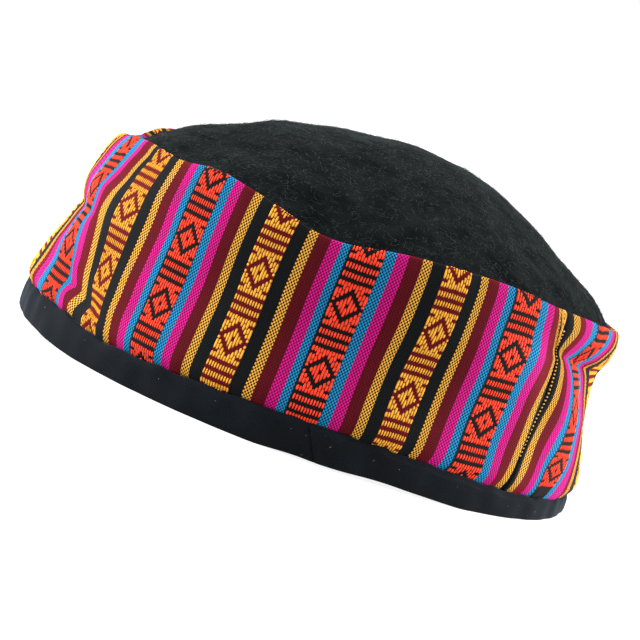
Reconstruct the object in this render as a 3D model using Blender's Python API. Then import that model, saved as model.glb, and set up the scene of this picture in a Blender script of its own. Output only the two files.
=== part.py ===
"""A soft brimless smoking cap: a felt crown, a woven side band and a folded cotton rim band.

The cap stands on its rim at z = 0 with its front towards -Y. Tables and sizes are in millimetres and degrees.
An angle runs round the cap from the middle of the front towards +X.
"""

import math

import bmesh
import bpy
import numpy as np

MM = 0.001

# Driving dimensions
STEPS_ROUND = 72
RIM_RADIUS = 93.2
CLOTH_THICKNESS = 1.4
FELT_THICKNESS = 2.0
SEAM_GAP = 0.3
CROWN_BASE = 61.5
CROWN_RISE = 30.6
CROWN_PEAK_X = 12.0
CROWN_ROUNDING = 1.7
CROWN_BLUNTNESS = 0.2
INSIDE_BAND_GAP = 0.4

# The folded cotton's cross-section: distance in from the rim radius, share of the rim's height
RIM_SECTION = (
    (2.30, 0.00),
    (0.50, 0.00),
    (0.10, 0.10),
    (0.00, 0.45),
    (0.15, 0.80),
    (0.60, 0.96),
    (1.10, 1.00),
    (2.10, 1.00),
    (2.60, 0.88),
    (2.60, 0.12),
)

# The cloth's side profile: share of the band's cloth, radius, share of its height
CLOTH_PROFILE = (
    (0.00, 91.4, 0.00),
    (0.05, 92.7, 0.05),
    (0.11, 92.3, 0.11),
    (0.18, 91.1, 0.18),
    (0.30, 89.2, 0.30),
    (0.43, 87.4, 0.43),
    (0.57, 86.6, 0.58),
    (0.70, 86.6, 0.72),
    (0.82, 86.6, 0.85),
    (0.91, 86.1, 0.95),
    (0.97, 84.9, 1.00),
    (1.00, 83.2, 0.985),
)
CLOTH_ROWS = (0.0, 0.03, 0.07, 0.14, 0.23, 0.34, 0.44, 0.53, 0.60, 0.66, 0.72, 0.78, 0.85, 0.92, 0.97, 1.0)

# Sections round the cap. Lift is the rim's bottom above the ground, rim and top are the heights of the two seams,
# and low, middle, high and edge say how far the cloth stands out from its profile at CLOTH_LEVELS.
SECTION_COLUMNS = ("angle", "lift", "rim", "top", "low", "middle", "high", "edge")
SECTIONS = (
    (-150, 0.0, 9.5, 65.5, 0.0, 0.0, 0.0, 0.0),
    (-120, 0.4, 9.8, 64.0, 0.0, 1.0, -1.2, -2.0),
    (-106, 1.2, 10.2, 61.0, 0.0, 0.0, -2.7, -3.5),
    (-90, 1.8, 10.5, 62.5, 0.2, -1.2, -3.0, -4.5),
    (-70, 1.6, 10.8, 64.5, 0.6, 1.6, -1.8, -3.5),
    (-54, 0.5, 10.7, 66.8, 0.8, 2.3, -0.6, -1.8),
    (-40, 0.0, 8.7, 66.4, 0.2, 1.2, 0.0, 0.0),
    (-32, 0.0, 9.0, 68.0, 0.0, 0.5, 0.0, 0.0),
    (-20, 0.0, 9.8, 66.2, 0.0, 0.0, 0.0, 0.0),
    (-5, 0.0, 10.7, 62.0, 0.0, 0.0, 0.0, 0.0),
    (12, 0.0, 11.1, 65.4, 0.0, 0.2, 0.0, 0.0),
    (34, 0.0, 9.6, 66.3, 0.3, 1.4, 0.3, 0.0),
    (48, 0.0, 7.8, 64.2, 0.8, 2.4, 0.8, 0.5),
    (64, 0.0, 6.6, 62.2, 1.0, 3.2, 2.0, 1.6),
    (80, 0.0, 6.3, 60.8, 0.4, 1.2, 2.4, 2.8),
    (98, 0.0, 6.8, 60.0, 0.0, -0.5, 2.4, 3.0),
    (125, 0.0, 8.4, 61.5, 0.0, 0.0, 1.0, 1.0),
    (160, 0.0, 9.4, 65.0, 0.0, 0.0, 0.0, 0.0),
)
CLOTH_LEVELS = (0.0, 0.25, 0.5, 0.82, 1.0)

# Folds pressed into the cloth. Slope is how many millimetres the fold climbs for each degree round the cap.
FOLDS = {
    # name: angle, height, depth, half angle, half height, softness, slope
    "left pinch": (-90, 39.0, 2.4, 24, 4.5, 0.3, 0.0),
    "left low fold": (-56, 22.0, 1.0, 9, 2.5, 0.4, 0.0),
    "right pinch": (68, 46.5, 6.5, 17, 5.5, 0.5, -0.18),
    "join tuck": (53.5, 44.0, 1.6, 4.5, 16.0, 0.8, 0.0),
}

# Rows of the crown from its peak to its seam, as shares of the way out
CROWN_ROWS = (0.07, 0.18, 0.30, 0.42, 0.54, 0.66, 0.77, 0.87, 0.95, 1.0)

# Soft swells and dents of the crown: x, y, rise, reach along x, reach along y
CROWN_DENTS = {
    "left shoulder": (-57.0, 0.0, 1.9, 17.0, 45.0),
    "top swell": (-10.0, 0.0, 1.2, 20.0, 30.0),
    "right hollow": (36.0, 0.0, -2.0, 20.0, 38.0),
    "front hollow": (-12.0, -52.0, -1.2, 26.0, 12.0),
}

# The felt's edge, turned down behind the cloth: in from the cloth's edge, below the cloth's top, share of the cloth
FELT_EDGE = (
    (0.45, 0.8, 1.0),
    (0.55, 2.6, 0.94),
    (0.40, 4.8, 0.90),
    (0.40, 7.2, 0.86),
)

MATERIALS = {
    # name: colour, roughness, sheen
    "wool_felt": ((0.012, 0.014, 0.017), 0.95, 0.35),
    "woven_cotton": ((0.42, 0.045, 0.09), 0.75, 0.10),
    "black_cotton": ((0.014, 0.015, 0.019), 0.80, 0.20),
}


def smooth_rows(position, places, values):
    """A smooth curve through the rows of a table, read at any position."""
    places = np.asarray(places, float)
    values = np.asarray(values, float)
    slopes = np.gradient(values, places)
    row = np.clip(np.searchsorted(places, position, side="right") - 1, 0, len(places) - 2)
    width = places[row + 1] - places[row]
    s = np.clip((position - places[row]) / width, 0.0, 1.0)
    start = (2 * s**3 - 3 * s**2 + 1) * values[row] + (s**3 - 2 * s**2 + s) * width * slopes[row]
    end = (3 * s**2 - 2 * s**3) * values[row + 1] + (s**3 - s**2) * width * slopes[row + 1]
    return start + end


def section(column, angle):
    """A column of the sections table at an angle, smooth all the way round."""
    index = SECTION_COLUMNS.index(column)
    places = [row[0] + turn for turn in (-360, 0, 360) for row in SECTIONS]
    values = [row[index] for row in SECTIONS] * 3
    return smooth_rows((np.asarray(angle, float) + 180) % 360 - 180, places, values)


def fold_depth(angle, height):
    """How far the folds press the cloth in at an angle and height."""
    total = np.zeros(np.broadcast(angle, height).shape)
    for centre, level, depth, half_angle, half_height, softness, slope in FOLDS.values():
        side = (np.asarray(angle, float) - centre + 180) % 360 - 180
        up = (height - level - slope * side) / half_height
        total = total + depth * np.exp(-((side / half_angle) ** 2) + softness - np.sqrt(up**2 + softness**2))
    return total


def around(radius, angle, height):
    """Points at a radius, angle and height, as an array with x, y and z in its last axis."""
    turn = np.radians(angle)
    parts = np.broadcast_arrays(radius * np.sin(turn), -radius * np.cos(turn), height)
    return np.stack(parts, axis=-1)


def cloth_radius_height(angle, share):
    """Radius and height of the cloth's outer face at a share of the way from its rim seam to its rolled edge."""
    places, radii, rises = zip(*CLOTH_PROFILE)
    bottom = section("rim", angle) + SEAM_GAP
    height = bottom + (section("top", angle) - bottom) * np.interp(share, places, rises)
    radius = smooth_rows(share, places, radii)
    for level, column in enumerate(("low", "middle", "high", "edge"), start=1):
        bump = [float(level == other) for other in range(len(CLOTH_LEVELS))]
        radius = radius + section(column, angle) * smooth_rows(share, CLOTH_LEVELS, bump)
    return radius - fold_depth(angle, height), height


def crown_points(angle, share):
    """The felt's outer face at a share of the way from the crown's peak to its seam."""
    edge_radius, _ = cloth_radius_height(angle, np.ones_like(angle))
    in_from_edge, below_top, _ = FELT_EDGE[0]
    seam = around(edge_radius - in_from_edge, angle, section("top", angle) - below_top)
    peak = np.array((CROWN_PEAK_X, 0.0, 0.0))
    points = peak + (seam - peak) * np.asarray(share)[..., None]
    slope = (share**2 + CROWN_BLUNTNESS**2) ** (CROWN_ROUNDING / 2)
    full_slope = (1 + CROWN_BLUNTNESS**2) ** (CROWN_ROUNDING / 2)
    rise = CROWN_RISE * (full_slope - slope)
    points[..., 2] = seam[..., 2] * share**2 + CROWN_BASE * (1 - share**2) + rise
    for x, y, swell, reach_x, reach_y in CROWN_DENTS.values():
        away = ((points[..., 0] - x) / reach_x) ** 2 + ((points[..., 1] - y) / reach_y) ** 2
        points[..., 2] += swell * np.exp(-away) * (1 - share**6)
    return points


def felt_edge_points(angle, row):
    """One row of the felt's edge behind the cloth, clear of the cloth's inner face."""
    in_from_edge, below_top, share = row
    edge_radius, _ = cloth_radius_height(angle, np.ones_like(angle))
    band_radius, _ = cloth_radius_height(angle, np.full_like(angle, share))
    behind_cloth = band_radius - CLOTH_THICKNESS - INSIDE_BAND_GAP
    radius = np.minimum(edge_radius - in_from_edge, behind_cloth)
    return around(radius, angle, section("top", angle) - below_top)


def new_material(name):
    """A Principled BSDF with the piece's colour, roughness and sheen."""
    colour, roughness, sheen = MATERIALS[name]
    material = bpy.data.materials.new(name)
    material.use_nodes = True
    shader = material.node_tree.nodes["Principled BSDF"]
    shader.inputs["Base Color"].default_value = (*colour, 1.0)
    shader.inputs["Roughness"].default_value = roughness
    shader.inputs["Metallic"].default_value = 0.0
    shader.inputs["Sheen Weight"].default_value = sheen
    material.diffuse_color = (*colour, 1.0)
    return material


def new_object(name, rings, material, closed=False, peak=None):
    """An object from rings of points, in millimetres, each ring joined to the next one.

    A closed stack joins its last ring to its first. A peak closes the last ring with a fan."""
    mesh = bpy.data.meshes.new(name)
    shape = bmesh.new()
    loops = [[shape.verts.new(point * MM) for point in ring] for ring in rings]
    pairs = list(zip(loops, loops[1:]))
    if closed:
        pairs.append((loops[-1], loops[0]))
    for lower, upper in pairs:
        for i in range(len(lower)):
            j = (i + 1) % len(lower)
            shape.faces.new((lower[i], lower[j], upper[j], upper[i]))
    if peak is not None:
        top = shape.verts.new(peak * MM)
        last = loops[-1]
        for i in range(len(last)):
            shape.faces.new((last[i], last[(i + 1) % len(last)], top))
    shape.to_mesh(mesh)
    shape.free()
    mesh.shade_smooth()
    mesh.set_sharp_from_angle(angle=math.radians(50))
    mesh.materials.append(new_material(material))
    piece = bpy.data.objects.new(name, mesh)
    bpy.context.scene.collection.objects.link(piece)
    return piece


def thicken(piece, thickness):
    """Gives a sheet its thickness, towards the inside of the cap."""
    solid = piece.modifiers.new("thickness", "SOLIDIFY")
    solid.thickness = thickness * MM
    solid.offset = -1.0


def build_rim_band(angles):
    """The folded cotton ring that the cap stands on."""
    rings = []
    bottom = np.maximum(section("lift", angles), 0.0)
    for distance_in, share in RIM_SECTION:
        height = bottom + (section("rim", angles) - bottom) * share
        rings.append(around(RIM_RADIUS - distance_in, angles, height))
    return new_object("rim_band", rings, "black_cotton", closed=True)


def build_side_band(angles):
    """The woven cloth from the rim seam up to its rolled top edge."""
    rings = []
    for share in CLOTH_ROWS:
        radius, height = cloth_radius_height(angles, np.full_like(angles, share))
        rings.append(around(radius, angles, height))
    band = new_object("side_band", rings, "woven_cotton")
    thicken(band, CLOTH_THICKNESS)
    return band


def build_crown(angles):
    """The felt dome, with its edge turned down behind the cloth."""
    rings = [felt_edge_points(angles, row) for row in reversed(FELT_EDGE[1:])]
    rings += [crown_points(angles, np.full_like(angles, share)) for share in reversed(CROWN_ROWS)]
    peak = crown_points(np.zeros(1), np.zeros(1))[0]
    crown = new_object("crown", rings, "wool_felt", peak=peak)
    thicken(crown, FELT_THICKNESS)
    return crown


def main():
    for old in list(bpy.data.objects):
        bpy.data.objects.remove(old)
    angles = np.arange(STEPS_ROUND) * 360.0 / STEPS_ROUND
    build_rim_band(angles)
    build_side_band(angles)
    build_crown(angles)


main()
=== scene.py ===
# %% [markdown]
# # A smoking cap in felt, striped cloth and folded cotton
#
# A smoking cap is a soft cap without a brim. Three plain solids come with the frame: the crown, the side
# band and the rim band. In this lesson each is replaced by the piece as a cap maker would see it: pressed
# wool felt with its fuzz, cloth woven in stripes with raised figures, and a folded cotton band with its
# join. The numbers are millimetres and degrees, and one scale at the end turns them into the metres that
# Blender uses here.

# %% Open the frame
import math

import bpy
import numpy as np
from mathutils import Matrix, Vector, noise


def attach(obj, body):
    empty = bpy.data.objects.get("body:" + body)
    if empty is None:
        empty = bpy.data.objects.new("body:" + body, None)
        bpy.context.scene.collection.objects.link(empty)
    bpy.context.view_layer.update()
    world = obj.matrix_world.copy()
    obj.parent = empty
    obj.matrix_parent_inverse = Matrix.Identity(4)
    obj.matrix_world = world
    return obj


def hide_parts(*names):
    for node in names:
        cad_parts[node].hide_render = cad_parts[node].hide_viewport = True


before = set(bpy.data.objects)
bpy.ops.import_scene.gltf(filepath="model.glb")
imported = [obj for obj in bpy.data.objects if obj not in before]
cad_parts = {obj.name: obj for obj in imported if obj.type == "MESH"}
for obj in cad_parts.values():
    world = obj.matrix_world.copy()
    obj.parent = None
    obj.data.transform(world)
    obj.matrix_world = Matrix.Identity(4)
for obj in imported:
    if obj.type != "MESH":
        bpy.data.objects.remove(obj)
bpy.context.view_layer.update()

MM = 0.001
print("Solids in the frame:", ", ".join(sorted(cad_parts)))

# %% [markdown]
# ## The camera
#
# The cap stands flat, and the photograph was taken from a little above the table with the camera turned
# about its own line of sight, which is why the cap seems to tip to the right. A camera is easiest to place
# from what it looks at: go back from the target along the line of sight, roll it, then turn it a hair so
# that the cap sits where it does in the picture. Turning is better than a lens shift here, because other
# views of the cap keep the shift.

# %% Place the camera
IMAGE_SIDE = 640
SENSOR_WIDTH = 36.0
FOCAL_PIXELS = 2740
CAMERA_DISTANCE = 870.0
CAMERA_RISE = math.radians(6.5)
CAMERA_ROLL = math.radians(20.7)
TARGET = Vector((0.0, 0.0, 35.0))
TARGET_RIGHT_PIXELS = 10.0
TARGET_UP_PIXELS = 17.5

backwards = Vector((0.0, -math.cos(CAMERA_RISE), math.sin(CAMERA_RISE)))
upwards = Vector((0.0, math.sin(CAMERA_RISE), math.cos(CAMERA_RISE)))
level = Matrix((Vector((1.0, 0.0, 0.0)), upwards, backwards)).transposed().to_4x4()
roll = Matrix.Rotation(CAMERA_ROLL, 4, "Z")
turn_left = Matrix.Rotation(math.atan(TARGET_RIGHT_PIXELS / FOCAL_PIXELS), 4, "Y")
tip_down = Matrix.Rotation(-math.atan(TARGET_UP_PIXELS / FOCAL_PIXELS), 4, "X")

lens = bpy.data.cameras.new("camera")
lens.sensor_width = SENSOR_WIDTH
lens.lens = FOCAL_PIXELS / IMAGE_SIDE * SENSOR_WIDTH
camera = bpy.data.objects.new("camera", lens)
bpy.context.scene.collection.objects.link(camera)
bpy.context.scene.camera = camera
camera_place = (TARGET + backwards * CAMERA_DISTANCE) * MM
camera.matrix_world = Matrix.Translation(camera_place) @ level @ roll @ turn_left @ tip_down
print("Lens in mm:", round(lens.lens, 1), "camera height in mm:", round(camera_place.z / MM))

# %% [markdown]
# ## Tables of the cap's shape
#
# The real cap was cut and sewn by hand, so its shape is a plain round with small habits: a rim that lifts
# at the left, a pinch at each side, a band that is higher in one place than in another. Short tables hold
# these habits, a row for each place round the cap, and a smooth curve is drawn through the rows. They start
# from the sizes of the plain solids and add the smaller folds, so the fine pieces lie within a few
# millimetres of the solids.

# %% Write down the band's sections
CLOTH_PROFILE = (
    # share of the band's cloth, radius, share of the band's height
    (0.00, 91.4, 0.00),
    (0.05, 92.7, 0.05),
    (0.11, 92.3, 0.11),
    (0.18, 91.1, 0.18),
    (0.30, 89.2, 0.30),
    (0.43, 87.4, 0.43),
    (0.57, 86.6, 0.58),
    (0.70, 86.6, 0.72),
    (0.82, 86.6, 0.85),
    (0.91, 86.1, 0.95),
    (0.97, 84.9, 1.00),
    (1.00, 83.2, 0.985),
)

# Sections round the cap. Rim and top are the heights of the cloth's two seams. Low, middle, high and edge say
# how far the cloth stands out from its profile at CLOTH_LEVELS.
SECTION_COLUMNS = ("angle", "rim", "top", "low", "middle", "high", "edge")
SECTIONS = (
    (-150, 9.5, 65.5, 0.0, 0.0, 0.0, 0.0),
    (-120, 9.8, 65.2, 0.0, 1.0, -1.2, -2.0),
    (-106, 10.2, 61.6, 0.0, 0.0, -3.2, -4.8),
    (-90, 10.5, 62.5, 0.2, -1.2, -3.8, -6.0),
    (-70, 10.8, 64.5, 0.6, 1.6, -2.2, -4.2),
    (-54, 10.7, 66.8, 0.8, 2.3, -0.6, -1.8),
    (-40, 8.7, 66.4, 0.2, 1.2, 0.0, 0.0),
    (-32, 9.0, 68.0, 0.0, 0.5, 0.0, 0.0),
    (-20, 9.8, 66.2, 0.0, 0.0, 0.0, 0.0),
    (-5, 10.7, 62.0, 0.0, 0.0, 0.0, 0.0),
    (12, 11.1, 65.4, 0.0, 0.2, 0.0, 0.0),
    (34, 9.6, 66.3, 0.3, 1.4, 0.3, 0.0),
    (48, 7.8, 64.2, 0.8, 2.4, 0.8, 0.5),
    (64, 6.6, 62.2, 1.3, 3.2, 2.0, 1.6),
    (80, 6.3, 59.8, 1.4, 1.6, 2.4, 2.6),
    (98, 6.8, 58.6, 0.6, -0.3, 2.4, 2.6),
    (125, 8.4, 61.0, 0.0, 0.0, 1.0, 1.0),
    (160, 9.4, 65.0, 0.0, 0.0, 0.0, 0.0),
)
CLOTH_LEVELS = (0.0, 0.25, 0.5, 0.82, 1.0)
print("Sections round the cap:", len(SECTIONS))

# %% [markdown]
# ## The folds of the band
#
# At both ends of the cap the cloth is pinched in, and beside each pinch it stands out. Each fold is a soft
# dent with a place, a depth and a reach, and a bulge is a dent with a depth below nothing. The folds could
# be sculpted by hand, but a row in a table can be moved or deepened by itself, and the cloth and the
# figures on it then move together.

# %% Write down the folds
FOLDS = {
    # name: angle, height, depth, half angle, half height, softness, millimetres climbed for each degree
    "left pinch": (-90, 40.0, 1.7, 24, 4.0, 0.3, 0.0),
    "left tuck": (-84, 41.5, 1.5, 18, 1.3, 0.15, -0.05),
    "left lobe": (-88, 47.0, -1.3, 22, 5.0, 1.0, 0.0),
    "left low fold": (-56, 22.0, 1.0, 9, 2.5, 0.4, 0.0),
    "left crease": (-51, 17.4, 2.2, 8, 2.6, 0.1, -0.3),
    "right pinch": (68, 47.9, 6.3, 17, 6.0, 0.4, -0.18),
    "right tuck": (71, 47.4, 1.8, 15, 1.3, 0.1, -0.18),
    "right lobe": (88, 52.5, -1.0, 16, 4.5, 1.0, 0.0),
    "join tuck": (53.5, 44.0, 1.6, 4.5, 16.0, 0.8, 0.0),
}
print("Folds:", ", ".join(FOLDS))

# %% [markdown]
# ## Reading the tables
#
# A table has few rows, and the cap is smooth between them. So a cubic curve is drawn through the rows,
# whose slope at each row comes from the rows beside it, as a flexible ruler bends through a few pins. From
# these curves come the radius and the height of the cloth's outer face at any place round the cap.

# %% Read the tables
CAUGHT_IN_RIM = 0.4


def smooth_rows(position, places, values):
    """A smooth curve through the rows of a table, read at any position."""
    places = np.asarray(places, float)
    values = np.asarray(values, float)
    slopes = np.gradient(values, places)
    row = np.clip(np.searchsorted(places, position, side="right") - 1, 0, len(places) - 2)
    width = places[row + 1] - places[row]
    s = np.clip((position - places[row]) / width, 0.0, 1.0)
    start = (2 * s**3 - 3 * s**2 + 1) * values[row] + (s**3 - 2 * s**2 + s) * width * slopes[row]
    end = (3 * s**2 - 2 * s**3) * values[row + 1] + (s**3 - s**2) * width * slopes[row + 1]
    return start + end


def section(column, angle):
    """A column of the sections table at an angle, smooth all the way round."""
    index = SECTION_COLUMNS.index(column)
    places = [row[0] + turn for turn in (-360, 0, 360) for row in SECTIONS]
    values = [row[index] for row in SECTIONS] * 3
    return smooth_rows((np.asarray(angle, float) + 180) % 360 - 180, places, values)


def around(radius, angle, height):
    """Points at a radius, angle and height, as an array with x, y and z in its last axis."""
    turn = np.radians(angle)
    parts = np.broadcast_arrays(radius * np.sin(turn), -radius * np.cos(turn), height)
    return np.stack(parts, axis=-1)


def levels(position, places):
    """How much each level of a table counts at a position: one array of weights for each level."""
    return [smooth_rows(position, places, np.arange(len(places)) == level) for level in range(len(places))]


def fold_depth(angle, height):
    """How far the folds press the cloth in at an angle and height."""
    total = np.zeros(np.broadcast(angle, height).shape)
    for centre, level, depth, half_angle, half_height, softness, slope in FOLDS.values():
        side = (np.asarray(angle, float) - centre + 180) % 360 - 180
        up = (height - level - slope * side) / half_height
        total = total + depth * np.exp(-((side / half_angle) ** 2) + softness - np.sqrt(up**2 + softness**2))
    return total


def cloth_radius_height(angle, share):
    """Radius and height of the cloth's outer face at a share of the way up from its rim seam."""
    places, radii, rises = zip(*CLOTH_PROFILE)
    bottom = section("rim", angle) - CAUGHT_IN_RIM
    height = bottom + (section("top", angle) - bottom) * np.interp(share, places, rises)
    radius = smooth_rows(share, places, radii)
    for weight, column in zip(levels(share, CLOTH_LEVELS)[1:], ("low", "middle", "high", "edge")):
        radius = radius + section(column, angle) * weight
    return radius - fold_depth(angle, height), height


print("Height of the band's top seam at the front:", round(float(section("top", 0.0)), 1), "mm")

# %% [markdown]
# ## Colours and nodes
#
# Colours are read from a picture as sRGB hex values, but a shader works with linear light, so one function
# turns the first into the second. A second function adds a node: it takes the node's kind, its own options
# and its inputs, and an input is either a value or another node's output, which is then linked.

# %% Colour and node helpers


def linear(hex_colour):
    """An sRGB hex colour as linear red, green, blue and alpha."""
    channels = [int(hex_colour[i:i + 2], 16) / 255 for i in (1, 3, 5)]
    return [c / 12.92 if c <= 0.04045 else ((c + 0.055) / 1.055) ** 2.4 for c in channels] + [1.0]


def fill_inputs(finish, node, inputs):
    """Sets or links the inputs of a node. A node given as a value is linked by its first output."""
    for name, value in inputs.items():
        sockets = [socket for socket in node.inputs if socket.enabled]
        socket = sockets[name] if isinstance(name, int) else next(s for s in sockets if s.name == name)
        if isinstance(value, bpy.types.Node):
            value = next(output for output in value.outputs if output.enabled)
        if isinstance(value, bpy.types.NodeSocket):
            finish.node_tree.links.new(value, socket)
        else:
            socket.default_value = value


def add_node(finish, kind, inputs=None, **options):
    """Adds a node to a finish, with its options and its inputs."""
    node = finish.node_tree.nodes.new(kind)
    for name, value in options.items():
        setattr(node, name, value)
    fill_inputs(finish, node, inputs or {})
    return node


def new_finish(name):
    """An empty finish and its shader, whose inputs are filled in last."""
    finish = bpy.data.materials.new(name)
    finish.use_nodes = True
    return finish, finish.node_tree.nodes["Principled BSDF"]


print("A middle grey, #808080, is", round(linear("#808080")[0], 3), "in linear light")

# %% [markdown]
# ## The studio
#
# The photograph has a white ground and soft light from all sides, with a little more from above and from
# both ends, where the cotton and the felt look paler. A white world gives the even light and three large
# area lights give the difference. Large lights cast soft shadows, as a light tent does. The ground is a
# light table of white acrylic, lit from below, as is used for pictures that have no dark shadow.

# %% Build the studio
FLOOR_SIDE = 12.0
WORLD_LIGHT = 1.0
TABLE_LIGHT = 0.9

studio_world = bpy.data.worlds.new("white_tent")
studio_world.use_nodes = True
studio_world.node_tree.nodes["Background"].inputs["Color"].default_value = linear("#FFFFFF")
studio_world.node_tree.nodes["Background"].inputs["Strength"].default_value = WORLD_LIGHT
bpy.context.scene.world = studio_world
bpy.context.scene.view_settings.view_transform = "Standard"

bpy.ops.mesh.primitive_plane_add(size=FLOOR_SIDE, location=(0.0, 0.0, 0.0))
floor = bpy.context.active_object
floor.name = "white_floor"
acrylic, acrylic_shader = new_finish("matt_white_acrylic_lit_from_below")
fill_inputs(acrylic, acrylic_shader, {
    "Base Color": linear("#828282"),
    "Roughness": 0.9,
    "Specular IOR Level": 0.1,
    "Emission Color": linear("#FFFFFF"),
    "Emission Strength": TABLE_LIGHT,
})
floor.data.materials.append(acrylic)

LIGHTS = {
    # name: place in metres, side in metres, power in watts
    "top_softbox": ((0.1, -0.15, 1.1), 0.9, 6.0),
    "left_softbox": ((-1.0, 0.05, 0.4), 0.8, 30.0),
    "right_softbox": ((1.0, 0.2, 0.4), 0.8, 24.0),
}
for light_name, (place, side, power) in LIGHTS.items():
    softbox = bpy.data.lights.new(light_name, "AREA")
    softbox.shape = "SQUARE"
    softbox.size = side
    softbox.energy = power
    lamp = bpy.data.objects.new(light_name, softbox)
    lamp.location = place
    lamp.rotation_euler = (TARGET * MM - Vector(place)).to_track_quat("-Z", "Y").to_euler()
    bpy.context.scene.collection.objects.link(lamp)
print("Lights:", ", ".join(LIGHTS))

# %% [markdown]
# ## Thick sheets
#
# Cloth, felt and folded cotton are all sheets with a thickness. A sheet is a grid of points for its outer
# face, and a second grid a thickness further in, with strips of faces that close its edges. The grid could
# be made with a Solidify modifier, but with the two grids in hand each point also keeps where it lies on
# the flat cloth, which the weave needs.

# %% Make thick sheets


def grid_normals(points, goes_round):
    """Outward directions of a grid of points whose rows go up the cap and whose columns go round it."""
    if goes_round:
        along = np.roll(points, -1, axis=1) - np.roll(points, 1, axis=1)
    else:
        along = np.gradient(points, axis=1)
    normals = np.cross(along, np.gradient(points, axis=0))
    return normals / np.maximum(np.linalg.norm(normals, axis=-1, keepdims=True), 1e-9)


def new_piece(name, points, faces, finish, flat_places=None):
    """A smooth mesh piece from points in millimetres, with its place on the flat cloth kept at each point."""
    mesh = bpy.data.meshes.new(name)
    mesh.from_pydata((np.asarray(points).reshape(-1, 3) * MM).tolist(), [], faces)
    mesh.shade_smooth()
    mesh.materials.append(finish)
    if flat_places is not None:
        kept = mesh.attributes.new("flat_place", "FLOAT_VECTOR", "POINT")
        kept.data.foreach_set("vector", np.asarray(flat_places, np.float32).ravel())
    piece = bpy.data.objects.new(name, mesh)
    bpy.context.scene.collection.objects.link(piece)
    triangles = sum(len(face) - 2 for face in faces)
    print(f"{name}: {len(mesh.vertices)} points, {triangles} triangles")
    return piece


def thick_sheet(name, outer, inner, goes_round, finish, flat_places=None, has_peak=False):
    """A closed piece from the grids of its outer and inner face. A peak closes the last row of each."""
    rows, columns = outer.shape[:2]
    number = np.arange(rows * columns).reshape(rows, columns)
    offset = rows * columns
    next_column = np.roll(number, -1, axis=1) if goes_round else number[:, 1:]
    this_column = number if goes_round else number[:, :-1]
    corners = [this_column[:-1], next_column[:-1], next_column[1:], this_column[1:]]
    quads = np.stack(corners, axis=-1).reshape(-1, 4)
    faces = quads.tolist() + (quads[:, ::-1] + offset).tolist()
    edge_rows = [0] if has_peak else [0, rows - 1]
    for row in edge_rows:
        near, far = this_column[row], next_column[row]
        strip = np.stack([near + offset, far + offset, far, near], axis=-1)
        faces += (strip if row == 0 else strip[:, ::-1]).tolist()
    if not goes_round:
        for column in (0, columns - 1):
            low, high = number[:-1, column], number[1:, column]
            strip = np.stack([low, high, high + offset, low + offset], axis=-1)
            faces += (strip if column == 0 else strip[:, ::-1]).tolist()
    points = np.concatenate([outer.reshape(-1, 3), inner.reshape(-1, 3)])
    if has_peak:
        last = number[-1].tolist()
        following = last[1:] + last[:1]
        peaks = [len(points), len(points) + 1]
        points = np.concatenate([points, [outer[-1].mean(axis=0), inner[-1].mean(axis=0)]])
        faces += [[a, b, peaks[0]] for a, b in zip(last, following)]
        faces += [[b + offset, a + offset, peaks[1]] for a, b in zip(last, following)]
    if flat_places is not None:
        outside = np.concatenate([flat_places.reshape(-1, 2), np.zeros((offset, 1))], axis=1)
        inside = np.concatenate([flat_places.reshape(-1, 2), np.ones((offset, 1))], axis=1)
        flat_places = np.concatenate([outside, inside])
    return new_piece(name, points, faces, finish, flat_places)


flat_grid = np.array([[(x, 0.0, z) for x in (0.0, 1.0)] for z in (0.0, 1.0)])
print("A flat upright grid faces", grid_normals(flat_grid, goes_round=False)[0, 0])

# %% [markdown]
# ## How the striped cloth goes round the cap
#
# The side band is one strip of woven cloth, about 563 mm long. It starts and ends at the join at the right
# of the front. Its stripes repeat every 52.4 mm: an orange figured stripe, then blue, pink, maroon, yellow
# check and black, a yellow figured stripe, and the same back again. A place on the flat cloth is counted in
# half repeats, so a whole number is always the middle of a figured stripe, even numbers orange and odd ones
# yellow. The stripes lean and bend with the cloth, so tables say at which angle a warp is at several
# heights. There are more rows where the cloth is pinched, at the left and beside the join.
#
# Most rows of these tables, and of those beside the join, were made by a separate program. Places along the
# stripes' edges were read by eye in enlargements of the photograph. The program found the angle and height
# of each place on the cap and printed rows at even heights, and some values were then corrected by hand.
# The rows at the back are a guess.

# %% Write down where the warps run
HALF_REPEAT = 26.2
BEFORE_JOIN = 18.85
AFTER_JOIN = 19.95
CLOTH_START = 8 - AFTER_JOIN / HALF_REPEAT
CLOTH_END = 28 + BEFORE_JOIN / HALF_REPEAT
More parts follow.
